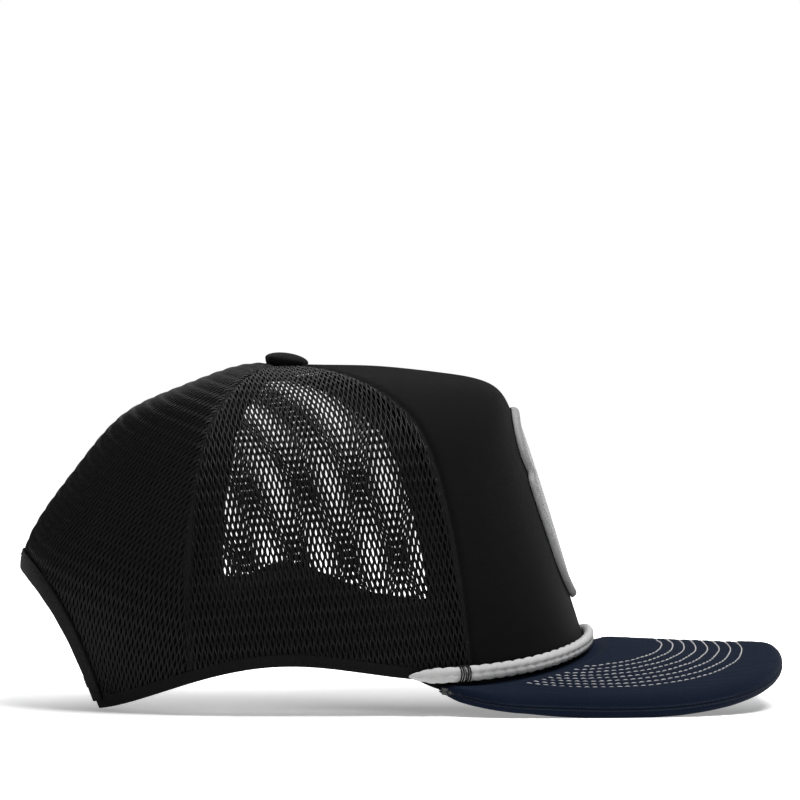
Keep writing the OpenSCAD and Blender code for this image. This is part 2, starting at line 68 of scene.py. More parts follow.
# %% Studio light and floor
def area_lamp(name, place, aim, size, power):
    """A square area lamp at place, turned so that it shines at aim."""
    data = bpy.data.lights.new(name, "AREA")
    data.size = size
    data.energy = power
    lamp = bpy.data.objects.new(name, data)
    lamp.location = place
    lamp.rotation_euler = (Vector(aim) - Vector(place)).to_track_quat("-Z", "Y").to_euler()
    scene.collection.objects.link(lamp)
    return lamp


crown_middle = (0, 0, 0.08)
area_lamp("key_lamp", (0.45, -0.15, 1.5), crown_middle, 0.9, 36)
area_lamp("fill_lamp", (-1.1, -1.5, 1.1), crown_middle, 1.0, 1.6)
area_lamp("back_lamp", (-0.5, 1.1, 1.3), crown_middle, 1.0, 8)

world = bpy.data.worlds.new("studio")
scene.world = world
world.use_nodes = True
sky = world.node_tree
sky.nodes.clear()
seen, lighting = sky.nodes.new("ShaderNodeBackground"), sky.nodes.new("ShaderNodeBackground")
seen.inputs["Color"].default_value = (1, 1, 1, 1)
lighting.inputs["Color"].default_value = (0.95, 0.97, 1, 1)
lighting.inputs["Strength"].default_value = 0.1
chooser, path = sky.nodes.new("ShaderNodeMixShader"), sky.nodes.new("ShaderNodeLightPath")
sky.links.new(path.outputs["Is Camera Ray"], chooser.inputs[0])
sky.links.new(lighting.outputs[0], chooser.inputs[1])
sky.links.new(seen.outputs[0], chooser.inputs[2])
sky.links.new(chooser.outputs[0], sky.nodes.new("ShaderNodeOutputWorld").inputs[0])
scene.view_settings.view_transform = "Standard"
scene.view_settings.look = "None"

# %% [markdown]
# Shader maths reads best as plain arithmetic. A Wire is one socket of a finish, and adding or
# multiplying Wires adds Math nodes. A Finish is one material with a single method that makes any node,
# so each finish below is a few lines about cloth, thread or plastic.

# %% Finishes: the tools
class Wire:
    """One output socket of a finish; arithmetic on it adds Math nodes."""

    def __init__(self, finish, socket):
        self.finish = finish
        self.socket = socket

    def math(self, operation, *values):
        return self.finish.node("ShaderNodeMath", {"operation": operation}, values)

    def __add__(self, other):
        return self.math("ADD", self, other)

    def __sub__(self, other):
        return self.math("SUBTRACT", self, other)

    def __rsub__(self, other):
        return self.math("SUBTRACT", other, self)

    def __mul__(self, other):
        return self.math("MULTIPLY", self, other)

    __radd__ = __add__
    __rmul__ = __mul__


class Finish:
    """A Principled material; constants go on the shader's own sockets, and drive() links what varies."""

    def __init__(self, name, slot, **constants):
        self.name, self.slot = name, slot
        self.material = bpy.data.materials.new(name)
        self.material.use_nodes = True
        self.tree = self.material.node_tree
        self.shader = self.tree.nodes["Principled BSDF"]
        for key, value in constants.items():
            self.shader.inputs[key.replace("_", " ")].default_value = value

    def node(self, kind, settings, values, out=0):
        made = self.tree.nodes.new(kind)
        for key, value in settings.items():
            setattr(made, key, value)
        for key, value in values.items() if isinstance(values, dict) else enumerate(values):
            if isinstance(value, Wire):
                self.tree.links.new(value.socket, made.inputs[key])
            else:
                made.inputs[key].default_value = value
        return Wire(self, made.outputs[out])

    def drive(self, **wires):
        for key, wire in wires.items():
            self.tree.links.new(wire.socket, self.shader.inputs[key.replace("_", " ")])

    def place(self):
        return self.node("ShaderNodeTexCoord", {}, {}, "Object")

    def cloth_uv(self):
        """The piece's own UV map, in centimetres of cloth."""
        return self.node("ShaderNodeUVMap", {"uv_map": "cloth"}, {})

    def noise(self, where, scale, detail=3.0):
        return self.node("ShaderNodeTexNoise", {}, {"Vector": where, "Scale": scale, "Detail": detail})

    def part(self, vector, axis):
        return self.node("ShaderNodeSeparateXYZ", {}, [vector], axis)

    def mix(self, amount, dark, light):
        """Colour from dark to light as amount goes from 0 to 1."""
        return self.node("ShaderNodeMix", {"data_type": "RGBA"}, {0: amount, 6: dark, 7: light}, 2)

    def bump(self, height, distance):
        return self.node("ShaderNodeBump", {}, {"Height": height, "Distance": distance, "Strength": 1.0})

    def mapped(self, where, **settings):
        """The place moved and stretched by a Mapping node."""
        return self.node("ShaderNodeMapping", {}, {"Vector": where, **settings})


def wave(coordinate, pitch):
    """A ridge of height 0 to 1 for each pitch along the coordinate: half a cosine plus a half."""
    return coordinate.math("COSINE", coordinate * (2 * math.pi / pitch)) * 0.5 + 0.5


def grey(level, tint=(1, 1, 1)):
    return (level * tint[0], level * tint[1], level * tint[2], 1)


print("a mid grey is", grey(0.5))

# %% [markdown]
# Every cloth on the cap is a weave of fine threads. Twill steps one thread at each pick, which gives
# diagonal ribs; plain cloth is a chessboard of raised threads. Both are worked out from the piece's UV
# map in centimetres, with a slow noise for wear and lint.

# %% Finishes: woven cloth
def twill(name, slot, dark, light, pitch=0.06, rough=0.62, depth=0.00006, sheen=0.04):
    """Twill cloth: ridges along u + v, cut across by the picks along u - v."""
    finish = Finish(name, slot, Roughness=rough, Sheen_Weight=sheen, Sheen_Roughness=0.4,
                    Specular_IOR_Level=0.02)
    uv = finish.cloth_uv()
    u, v = finish.part(uv, 0), finish.part(uv, 1)
    rib, pick = wave(u + v, pitch), wave(u - v, pitch * 1.7)
    slow, lint = finish.noise(uv, 1.3), finish.noise(uv, 45.0, 4.0)
    shade = rib * 0.3 + pick * 0.1 + slow * 0.35 + lint * 0.35
    finish.drive(
        Base_Color=finish.mix(shade, dark, light),
        Roughness=slow * 0.12 + (rough - 0.06),
        Normal=finish.bump(rib * 0.7 + pick * 0.3 + lint * 0.5, depth))
    return finish


def plain_weave(name, slot, dark, light, pitch=0.09, rough=0.7, depth=0.0001, sheen=0.04):
    """Plain cloth: the product of ridges along u and along v, raised in turn."""
    finish = Finish(name, slot, Roughness=rough, Sheen_Weight=sheen, Sheen_Roughness=0.4,
                    Specular_IOR_Level=0.02)
    uv = finish.cloth_uv()
    u, v = finish.part(uv, 0), finish.part(uv, 1)
    cell = wave(u, pitch) * wave(v, pitch) + (1 - wave(u, pitch)) * (1 - wave(v, pitch))
    slow, lint = finish.noise(uv, 1.6), finish.noise(uv, 38.0, 4.0)
    shade = cell * 0.45 + slow * 0.2 + lint * 0.45
    finish.drive(
        Base_Color=finish.mix(shade, dark, light),
        Roughness=lint * 0.16 + (rough - 0.08),
        Normal=finish.bump(cell + lint * 0.6, depth))
    return finish


crown_twill = twill("crown_twill", "crown_cloth", grey(0.0018), grey(0.0055, (1, 1.02, 1.06)))
bill_weave = plain_weave("bill_weave", "bill_cloth", (0.0027, 0.0046, 0.0105, 1), (0.0078, 0.0125, 0.0265, 1))
tape_twill = twill("tape_twill", "tape", grey(0.004), grey(0.011), pitch=0.09, rough=0.7)
lining_knit = plain_weave("lining_knit", "lining", grey(0.0035), grey(0.01), pitch=0.07)
band_jersey = plain_weave("band_jersey", "sweatband", grey(0.005), grey(0.015), pitch=0.11, rough=0.8)
label_satin = twill("label_satin", "label", grey(0.66), grey(0.85), pitch=0.05, rough=0.45)
button_twill = twill("button_twill", "button_cloth", grey(0.004), grey(0.012), pitch=0.06)
print("woven finishes:", [f.name for f in (crown_twill, bill_weave, tape_twill, lining_knit, band_jersey)])

# %% [markdown]
# Thread, rope, knitted nylon, foam, plastic and metal have no weave of their own at this scale. Their
# detail is a fine grain in colour, roughness and bump that sits in the object's own space.

# %% Finishes: thread, nylon, foam, plastic and metal
def grainy(name, slot, dark, light, scale, depth, rough, spread=0.15, **constants):
    """A finish whose colour, roughness and bump follow one fine noise over a slow one."""
    finish = Finish(name, slot, Roughness=rough, **constants)
    fine, slow = finish.noise(finish.place(), scale, 4.0), finish.noise(finish.place(), 45.0)
    finish.drive(
        Base_Color=finish.mix(fine * 0.6 + slow * 0.4, dark, light),
        Roughness=fine * spread + (rough - spread / 2),
        Normal=finish.bump(fine, depth))
    return finish


nylon = grainy("nylon", "mesh", grey(0.002), grey(0.009), 2600.0, 0.00003, 0.42, Specular_IOR_Level=0.12)
rope_cotton = grainy("rope_cotton", "rope", grey(0.29, (1, 1, 0.98)), grey(0.5), 3200.0, 0.00009, 0.75)
bill_thread = grainy("bill_thread", "bill_thread", grey(0.24, (1, 1, 1.03)), grey(0.46), 3800.0, 0.00005, 0.6)
tack_thread = grainy("tack_thread", "tack_thread", grey(0.003), grey(0.012), 3800.0, 0.00004, 0.6,
                     Specular_IOR_Level=0.15)
# The patch thread's grey is darker than its own off-white, which paints the shade on the patch's border.
patch_thread = grainy("patch_thread", "patch_thread", grey(0.15), grey(0.28), 3000.0, 0.00005, 0.7)
foam_cells = grainy("foam_cells", "foam", grey(0.008), grey(0.03), 1500.0, 0.0002, 0.9)
board_fibre = grainy("board_fibre", "bill_board", grey(0.03), grey(0.05), 900.0, 0.0001, 0.6)
strap_plastic = grainy("strap_plastic", "strap_plastic", grey(0.009), grey(0.017), 2200.0, 0.00002, 0.36)
rivet_metal = grainy("rivet_metal", "rivet_metal", grey(0.35), grey(0.5), 1800.0, 0.00001, 0.35, Metallic=1.0)

patch_cloth = Finish("patch_cloth", "patch_cloth", Roughness=0.6, Sheen_Weight=0.2)
patch_uv = patch_cloth.cloth_uv()
satin = wave(patch_cloth.part(patch_uv, 1) + patch_cloth.noise(patch_uv, 6.0) * 0.02, 0.05)
lengths = patch_cloth.noise(patch_cloth.mapped(patch_uv, Scale=(3, 28, 1)), 1.0)
patch_cloth.drive(
    Base_Color=patch_cloth.mix(satin * 0.4 + lengths * 0.6, grey(0.17), grey(0.32, (1, 1, 1.02))),
    Normal=patch_cloth.bump(satin * 0.7 + lengths * 0.5, 0.00012))
print("materials:", len(bpy.data.materials))

# %% [markdown]
# All new pieces are surfaces on a grid. A closed piece is either a slab, two grids of the same size
# joined round their rims, or a tube, rings of points joined along a path. One function turns the
# arrays into a mesh, checks with the signed volume that its faces look outwards, and gives it a body.

# %% Mesh tools
def grid_quads(rows, columns, start=0):
    """Corners of the quads of a grid of rows by columns points, numbered row by row from start."""
    first = start + np.arange(rows - 1)[:, None] * columns + np.arange(columns - 1)[None]
    return np.stack([first, first + 1, first + columns + 1, first + columns], -1).reshape(-1, 4)


def strip_quads(one, other):
    """Quads between two lines of point numbers of the same length."""
    return np.stack([one[:-1], other[:-1], other[1:], one[1:]], -1)


def signed_volume(points, quads):
    """Sum over the quads' two triangles of a . (b x c) / 6: positive when faces look outwards."""
    a, b, c, d = (points[quads[:, k]] for k in range(4))
    return float((a * (np.cross(b, c) + np.cross(c, d))).sum() / 6)


def make_piece(name, points, quads, finish, nodes=(), uv=None):
    """Mesh from points in millimetres and quads; it rides on the cap and stands for the CAD nodes."""
    if signed_volume(points - points.mean(0), quads) < 0:
        quads = quads[:, ::-1]
    mesh = bpy.data.meshes.new(name)
    mesh.from_pydata((points * MM).tolist(), [], quads.tolist())
    mesh.polygons.foreach_set("use_smooth", np.ones(len(mesh.polygons), bool))
    if uv is not None:
        cloth_map = mesh.uv_layers.new(name="cloth")
        corners = np.zeros(len(mesh.loops), int)
        mesh.loops.foreach_get("vertex_index", corners)
        cloth_map.data.foreach_set("uv", (uv[corners] / 10).ravel().astype(np.float32))
    mesh.materials.append(finish.material)
    piece = bpy.data.objects.new(name, mesh)
    scene.collection.objects.link(piece)
    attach(piece, "cap")
    if nodes:
        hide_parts(*nodes)
    print(f"{name}: {len(quads)} quads")
    return piece


def slab(outer, inner):
    """Points and quads of the solid between two grids of the same size, rims included."""
    n, m = outer.shape[:2]
    number = np.arange(n * m).reshape(n, m)
    rims = [strip_quads(number[0] + n * m, number[0]), strip_quads(number[-1], number[-1] + n * m),
            strip_quads(number[:, 0], number[:, 0] + n * m),
            strip_quads(number[:, -1] + n * m, number[:, -1])]
    quads = np.concatenate([grid_quads(n, m), grid_quads(n, m, n * m)[:, ::-1], *rims])
    return np.concatenate([outer.reshape(-1, 3), inner.reshape(-1, 3)]), quads


def tube(rings, closed=False):
    """Points and quads of a tube through rings (n, m, 3); its ends are shut by quads across the ring."""
    n, m = rings.shape[:2]
    number = np.arange(n * m).reshape(n, m)
    number = np.concatenate([number, number[:, :1]], 1)
    if closed:
        number = np.concatenate([number, number[:1]], 0)
    quads = np.stack([number[:-1, :-1], number[1:, :-1], number[1:, 1:], number[:-1, 1:]], -1).reshape(-1, 4)
    if not closed:
        half = m // 2
        low, high = np.arange(half), m - 1 - np.arange(half)
        cap = strip_quads(low, high)
        quads = np.concatenate([quads, cap, cap[:, ::-1] + (n - 1) * m])
    return rings.reshape(-1, 3), quads


def copies(rings):
    """Points and quads of many open tubes of the same make, rings (count, n, m, 3), as one mesh."""
    first = np.arange(len(rings)) * rings[0, ..., 0].size
    return rings.reshape(-1, 3), (tube(rings[0])[1] + first[:, None, None]).reshape(-1, 4)


def cloth_lengths(along, across):
    """UVs of a grid from the distance along each row and the distance across it."""
    return np.stack(np.broadcast_arrays(along[:, None], across), -1).reshape(-1, 2)


def whole_turn(n):
    """n angles spread evenly over a full turn, in radians."""
    return np.linspace(0, 2 * math.pi, n, endpoint=False)


def unit(vectors):
    return vectors / np.maximum(np.linalg.norm(vectors, axis=-1, keepdims=True), 1e-9)


def lengths_along(points):
    """Distance run along each line of points, from its first point: running sum of the steps."""
    steps = np.linalg.norm(np.diff(points, axis=-2), axis=-1)
    return np.concatenate([np.zeros(steps.shape[:-1] + (1,)), np.cumsum(steps, -1)], -1)


def smooth_step(x, low, high):
    """0 below low, 1 above high, and 3 s^2 - 2 s^3 between them."""
    s = np.clip((x - low) / (high - low), 0, 1)
    return s * s * (3 - 2 * s)


up = np.array([0, 0, 1.0])
both_sides = (("right", -1), ("left", 1))
print("a slab of 2 by 2 points:", slab(np.zeros((2, 2, 3)), np.ones((2, 2, 3)))[1].shape, "quads")

# %% [markdown]
# The crown is one surface for all its layers. Each half has a profile, a B-spline of reach and height;
# a squared ellipse blends front, side and back, so that the front is boxy and the rear is round. Layers
# are this surface moved in or out along its normal, and the same slow ripples run through all of them.

# %% The crown's surface
crown_h, crown_back = 124.3, 42
front_reach, side_reach, back_reach = 111, 80, 77
front_square, back_square = 2.9, 2.2
seam_sweep, front_seam, side_seam = 7, 47, 113
cloth_t, foam_t, mesh_t, tape_t, lining_t, lay = 0.9, 2.8, 0.8, 0.6, 0.3, 0.25
eye_r = 3.6 / 2 + 0.7
front_profile = np.array([[eye_r, 1], [28, 0.997], [58, 0.975], [79.8, 0.952], [84.3, 0.832], [92.4, 0.627],
                          [101, 0.41], [front_reach, 0]])
side_profile = np.array([[eye_r, 1], [18, 0.991], [38, 0.945], [58, 0.832], [69.5, 0.66], [76, 0.467],
                         [79, 0.29], [side_reach, 0]])
back_profile = np.array([[eye_r, 1], [16, 1.012], [40, 0.932], [62, 0.867], [77, 0.7], [94, 0.531],
                         [102, 0.354], [back_reach, 0]])
foot_profile = np.array([[0.0]] * 7 + [[1.0]])
foot_wave = [10.34, 8.04, -3.875, 1.61, 3.19]


def spline(control, t):
    """Uniform cubic B-spline through its first and last control values, for t from 0 to 1."""
    s = np.clip(t, 0, 1) * (len(control) - 1)
    i = np.minimum(np.floor(s), len(control) - 2).astype(int)
    u = s - i
    ends = np.concatenate([[2 * control[0] - control[1]], control, [2 * control[-1] - control[-2]]])
    weights = [(1 - u) ** 3, 3 * u ** 3 - 6 * u * u + 4, 1 + 3 * u + 3 * u * u - 3 * u ** 3, u ** 3]
    return sum(w[..., None] / 6 * ends[i + k] for k, w in enumerate(weights))


def profile(control, reach, t):
    """Radius and height at share t: radii follow the reach, heights the crown's height."""
    p = spline(control, t)
    return p[..., 0] * reach / control[-1, 0], p[..., 1] * crown_h


def foot_z(a):
    """Height of the crown's foot in direction a: a sum of cosines."""
    return sum(w * np.cos(np.radians(k * a)) for k, w in enumerate(foot_wave))


def meridian(a, t):
    """Radius and height in direction a: r = (|cos a / p|^n + |sin a / q|^n)^(-1/n), heights by weight."""
    a, t = np.broadcast_arrays(np.asarray(a, float), np.asarray(t, float))
    c, s = np.abs(np.cos(np.radians(a))), np.abs(np.sin(np.radians(a)))
    fore = np.abs(a) < 90
    n = np.where(fore, front_square, back_square)
    (fr, fz), (br, bz) = profile(front_profile, front_reach, t), profile(back_profile, back_reach, t)
    qr, qz = profile(side_profile, side_reach, t)
    pr, pz = np.where(fore, fr, br), np.where(fore, fz, bz)
    r = ((c / pr) ** n + (s / qr) ** n) ** (-1 / n)
    w = (c * r / pr) ** n
    return r, w * pz + (1 - w) * qz + foot_z(a) * spline(foot_profile, t)[..., 0]


def crown_point(a, t):
    a, t = np.broadcast_arrays(np.asarray(a, float), np.asarray(t, float))
    r, z = meridian(a, t)
    b = np.radians(a + np.sign(a) * seam_sweep * (1 - t) * np.sin(np.radians(a)) ** 2)
    return np.stack([r * np.cos(b) - crown_back, r * np.sin(b), z], -1)


def crown_normal(a, t):
    """Outward normal: cross product of the steps down and round the surface."""
    down = crown_point(a, np.minimum(t + 0.004, 1)) - crown_point(a, np.maximum(t - 0.004, 0))
    return unit(np.cross(down, crown_point(a + 0.4, t) - crown_point(a - 0.4, t)))


def ripple(a, t):
    """Slow unevenness of the worn crown, in millimetres: waves that fade out at the foot and the arch,
    and one shallow dent low on the right side."""
    fade = smooth_step(t, 0.03, 0.2) * (1 - smooth_step(t, 0.82, 0.97))
    fade = fade * (1 - smooth_step(np.abs(a), 135, 150))
    waves = 0.35 * np.sin(np.radians(a * 3.1 + 40)) * np.sin(6.1 * t + 0.8)
    waves = waves + 0.25 * np.sin(np.radians(a * 7.3 + 190 * t)) * np.sin(11 * t)
    dent = -1.5 * np.exp(-((a + 97) / 11) ** 2 - ((t - 0.83) / 0.06) ** 2)
    return fade * waves + dent


def crown(a, t, depth=0.0):
    a, t = np.broadcast_arrays(np.asarray(a, float), np.asarray(t, float))
    return crown_point(a, t) + (ripple(a, t) + depth)[..., None] * crown_normal(a, t)


def share_at(a, z):
    """Share t at which the surface has height z, found by halving the interval 16 times."""
    a, z = np.broadcast_arrays(np.asarray(a, float), np.asarray(z, float))
    low, high = np.full(a.shape, 0.2), np.ones(a.shape)
    for _ in range(16):
        middle = (low + high) / 2
        above = meridian(a, middle)[1] > z
        low, high = np.where(above, middle, low), np.where(above, high, middle)
    return (low + high) / 2


print("crown: top", crown(0, 0.0), "front foot", crown(0, 1.0))

# %% [markdown]
# Cloth layers are slabs of the crown's surface. UVs run in millimetres: round the crown by arc length
# at mid height, and down it by arc length, so a weave keeps its size.

# %% Layers of the crown
foam_back = cloth_t + lay
foam_front = foam_back + foam_t
lining_back = mesh_t + 2 * lay + 0.1
tape_back = max(foam_front, lining_back + lining_t) + lay
side_back = lining_back + lining_t + 2 * lay
band_back = tape_back + tape_t + lay


def layer(name, a, t, depth, thick, finish, nodes, relief=0.0):
    """Slab over the grid a, t: its outer face lies at -depth plus relief, its inner one thick below."""
    outer = crown(a, t, relief - depth)
    inner = crown(a, t, -depth - thick)
    u = lengths_along(outer.swapaxes(0, 1)).swapaxes(0, 1)
    v = lengths_along(outer)
    u = np.broadcast_to(u[:, u.shape[1] // 2][:, None], v.shape)
    uv = np.stack([u, v], -1).reshape(-1, 2)
    return make_piece(name, *slab(outer, inner), finish, nodes, np.concatenate([uv, uv]))


def seam_dip(a, t, seam, depth=0.8, half=1.3):
    """Depth of the groove at a seam: a bell curve of the arc distance to it."""
    arc = np.radians(np.abs(np.abs(a) - seam)) * meridian(a, t)[0]
    return depth * np.exp(-(arc / half) ** 2)


def spread(low, high, n, ends=0.0):
    """n + 1 values from low to high, drawn towards both ends by the share given."""
    u = np.linspace(0, 1, n + 1)
    return low + (high - low) * (u - ends * np.sin(2 * math.pi * u) / (2 * math.pi))


print("depths: foam", foam_back, "lining", lining_back, "tapes", tape_back, side_back, "band", band_back)


# %% Front cloth and its foam
front_end, foam_end = front_seam - 0.12, front_seam - 3
a, t = np.meshgrid(spread(-front_end, front_end, 190, 0.8), spread(0, 1, 130, 0.3), indexing="ij")
to_seam = np.radians(front_seam - np.abs(a)) * meridian(a, t)[0]
pucker = 0.07 * np.sin(t * 260) * np.exp(-(to_seam / 4) ** 2)
front_cloth = layer("front_cloth", a, t, 0, cloth_t, crown_twill, ["front_panel"],
                    pucker - np.minimum(seam_dip(a, t, front_seam, 0.75), cloth_t - 0.1))
a, t = np.meshgrid(spread(-foam_end, foam_end, 60), spread(0.1, 0.985, 60), indexing="ij")
front_foam = layer("foam_liner", a, t, foam_back, foam_t, foam_cells, ["front_foam"])

# %% [markdown]
# Each seam is covered twice. Inside, a flat tape with a stitched line near each edge hides the raw
# cloth. In the seam's groove, the folded edges of the two panels show as one low rounded roll.

# %% Tapes behind the seams
tape_half, tape_top = 6, 0.05


def along_seam(seam, t, w, least_radius=0):
    """Direction that lies the distance w sideways from a seam, at the share t."""
    return seam + np.degrees(w / np.maximum(meridian(seam, t)[0], least_radius))


for side, sign in both_sides:
    for name, seam, low, high, depth in (("front", front_seam, -2, 11, tape_back),
                                         ("side", side_seam, -tape_half, tape_half, side_back)):
        width = np.linspace(low, high, 15)
        t, w = np.meshgrid(spread(tape_top, 0.985, 90), width if sign > 0 else -width[::-1])
        edge = np.minimum(np.abs(w - w.min()), np.abs(w - w.max()))
        relief = 0.12 * np.exp(-((edge - 0.6) / 0.5) ** 2) - 0.1 * np.exp(-((edge - 1.6) / 0.25) ** 2)
        layer(f"{name}_seam_tape_{side}", along_seam(sign * seam, t, w), t, depth, tape_t, tape_twill,
              [f"{name}_tape_{side}"], relief)
t, w = np.meshgrid(spread(tape_top, 0.6, 50), np.linspace(-tape_half, tape_half, 13))
layer("back_seam_tape", along_seam(180, t, w), t, side_back, tape_t, tape_twill, ["back_tape"])

# %% Folded seam edges
fold_depth, fold_t, fold_roll, fold_radius = 1.05, 0.3, 0.8, 9
for side, sign in both_sides:
    for name, seam in (("front", front_seam), ("side", side_seam)):
        width = np.linspace(-2.2, 1.8, 9)
        t, w = np.meshgrid(spread(0.0, 0.99, 110), width if sign > 0 else -width[::-1])
        layer(f"{name}_seam_fold_{side}", along_seam(sign * seam, t, w, fold_radius), t, fold_depth, fold_t,
              tape_twill, (), 0.25 * np.exp(-(w / fold_roll) ** 2))
t, w = np.meshgrid(spread(0.0, 0.62, 70), np.linspace(-2, 2, 9))
layer("back_seam_fold", along_seam(180, t, w, fold_radius), t, fold_depth, fold_t, tape_twill,
      (), 0.5 * np.exp(-(w / fold_roll) ** 2))

# %% [markdown]
# The arch over the straps is a squared half ellipse cut out of the two back panels. Its binding is a
# folded strip of cloth: a rounded U carried along the arch edge, with a row of stitches on each side.

# %% The arch
arch_h, arch_a, arch_square, arch_step, arch_foot = 50, 34, 2.6, 0.72, 0.99
binding_w, binding_t = 6, 0.6


def arch_place(u, grow):
    """Direction and share of the arch edge, u from -90 to 90 degrees, moved outwards by grow."""
    s, c = np.abs(np.sin(np.radians(u))), np.maximum(np.cos(np.radians(u)), 0)
    angle = np.maximum((arch_a + grow * arch_step) * s ** (2 / arch_square), 0.01)
    z = (arch_h + grow) * c ** (2 / arch_square)
    a = 180 - angle
    return a, np.minimum(arch_foot, share_at(a, np.maximum(z, foot_z(a))))


def arch_point(u, grow, depth):
    """Point of the crown at the arch edge, mirrored for negative u."""
    u, grow, depth = np.broadcast_arrays(*(np.asarray(x, float) for x in (u, grow, depth)))
    a, t = arch_place(u, grow)
    p = crown(a, t, depth)
    p[..., 1] *= np.where(u > 0, 1, -1)
    return p


def rounded_u(reach, front, back, turn, steps):
    """Section of a folded strip: in along the front face, round a half circle, and out along the back."""
    around = np.linspace(0, math.pi, turn)
    middle, half = (front + back) / 2, (front - back) / 2
    straight = np.linspace(reach, 0, steps)
    grow = np.concatenate([straight, -half * np.sin(around)[1:-1], straight[::-1]])
    bend = middle + half * np.cos(around)[1:-1]
    return grow, np.concatenate([np.full(steps, front), bend, np.full(steps, back)])


print("arch: top at", arch_point(0.01, 0, 0), "millimetres")

# %% Arch binding
binding_gap, binding_seam = 0.15, 4.4
binding_face = binding_gap + binding_t
outer_u = rounded_u(binding_w, binding_face, -mesh_t - binding_face, 9, 8)
inner_u = rounded_u(binding_w, binding_gap, -mesh_t - binding_gap, 9, 8)
grow = np.concatenate([outer_u[0], inner_u[0][::-1]])
depth = np.concatenate([outer_u[1], inner_u[1][::-1]])
facing = np.sign(depth + mesh_t / 2)
sunk = 0.12 * np.exp(-((grow - binding_seam) / 0.35) ** 2)
around = np.linspace(-90, 90, 241)
crinkle = 0.05 * np.sin(np.radians(around * 23))[:, None] * np.exp(-(grow / 4) ** 2)[None]
rings = arch_point(around[:, None], grow[None], depth[None] + (crinkle - sunk[None]) * facing)
binding_uv = cloth_lengths(lengths_along(rings.swapaxes(0, 1))[0], lengths_along(rings)[len(around) // 2])
make_piece("arch_edge", *tube(rings), tape_twill, ["arch_binding"], binding_uv)

# %% [markdown]
# Trucker mesh is a warp knit: each column has two yarns that run side by side, part to meet the yarns
# of the next columns, and come back, which leaves rows of six-sided holes. The yarns here are real
# four-sided tubes. Columns and rows are laid in arc lengths p and q on the panel, and two tables turn
# (p, q) into a direction and a share on the crown, so holes keep their size over the whole panel.

# %% Knitted mesh
pitch, row_step = 2.0, 2.97
yarn_wide, yarn_thick, yarn_gap, turns_per_row = 0.38, 0.3, 0.27, 7
knit_depth, knit_foot, knit_margin = 0.45, 0.99, 0.1


def lookup(table, x, y):
    """Value of a table at fractional places x, y, by two-way linear blend."""
    x, y = np.clip(x, 0, table.shape[0] - 1.001), np.clip(y, 0, table.shape[1] - 1.001)
    i, j = x.astype(int), y.astype(int)
    u, v = x - i, y - j
    return (table[i, j] * (1 - u) * (1 - v) + table[i + 1, j] * u * (1 - v)
            + table[i, j + 1] * (1 - u) * v + table[i + 1, j + 1] * u * v)


def panel_map(centre, low, high):
    """Tables for one panel: share T[direction, q] and direction D[q, p]. q is arc length from the top
    near the crown's middle and turns into a measure of height lower down, so that rows lie level."""
    directions, shares = np.linspace(low, high, 121), np.linspace(0, 1, 401)
    a, t = np.meshgrid(directions, shares, indexing="ij")
    points = crown_point(a, t)
    run = lengths_along(points)
    middle = np.argmin(np.abs(directions - centre))
    order = np.argsort(points[middle, :, 2])
    level = np.interp(points[..., 2], points[middle, order, 2], run[middle, order])
    blend = smooth_step(t, 0.25, 0.6)
    q = np.maximum.accumulate(run * (1 - blend) + level * blend, axis=1) + shares * 0.01
    q_axis = np.arange(0, q.max() + 1, 1.0)
    share = np.stack([np.interp(q_axis, q[k], shares) for k in range(len(directions))])
    rows = crown_point(directions[:, None], share)
    along = lengths_along(rows.swapaxes(0, 1))
    along = along - along[:, middle][:, None]
    p_axis = np.arange(along.min() - 1, along.max() + 1, 1.0)
    direction = np.stack([np.interp(p_axis, along[k], directions) for k in range(len(q_axis))])
    inside = np.stack([(p_axis >= along[k, 0]) & (p_axis <= along[k, -1]) for k in range(len(q_axis))])
    foot = q[:, -1]

    def place(p, s):
        x, y = s, p - p_axis[0]
        a = lookup(direction, x, y)
        ok = (lookup(inside.astype(float), x, y) > 0.5) & (s < np.interp(a, directions, foot)) & (s > 0.5)
        return a, lookup(share, (a - low) / (high - low) * 120, s), ok

    return place, (p_axis[0], p_axis[-1]), (0, q_axis[-1])


def yarn_paths(reach):
    """Yarns in the plane of the knit: x = column +- offset(y), with a slight wobble, over y."""
    columns = np.arange(-int(reach / pitch), int(reach / pitch) + 1)
    y = np.arange(-reach, reach, row_step / turns_per_row)
    part = np.clip(1.35 * np.cos(math.pi * y / row_step), -1, 1) / 2 + 0.5
    offset = yarn_gap + (pitch / 2 - 2 * yarn_gap) * part
    x = (columns[:, None, None] + 0.5) * pitch + np.array([-1, 1])[None, :, None] * offset[None, None]
    x = x.reshape(-1, len(y))
    y = np.broadcast_to(y, x.shape)
    return x + 0.05 * np.sin(x * 1.7 + y * 0.9) + 0.05 * np.sin(y * 2.3 - x * 0.6), y


def yarn_mesh(ring, ok):
    """Points and quads of the tubes through rings (yarn, step, 4, 3) wherever ok, closed at each end."""
    number = np.arange(ok.size * 4).reshape(ok.shape + (4,))
    both = ok[:, :-1] & ok[:, 1:]
    before, after = np.pad(both, ((0, 0), (1, 0))), np.pad(both, ((0, 0), (0, 1)))
    here, there = number[:, :-1][both], number[:, 1:][both]
    walls = [np.stack([here[:, k], there[:, k], there[:, k - 3], here[:, k - 3]], 1) for k in range(4)]
    quads = np.concatenate([*walls, number[ok & ~before & after], number[ok & before & ~after][:, ::-1]])
    used = np.unique(quads)
    renumber = np.zeros(number.size, int)
    renumber[used] = np.arange(len(used))
    return ring.reshape(-1, 3)[used], renumber[quads]


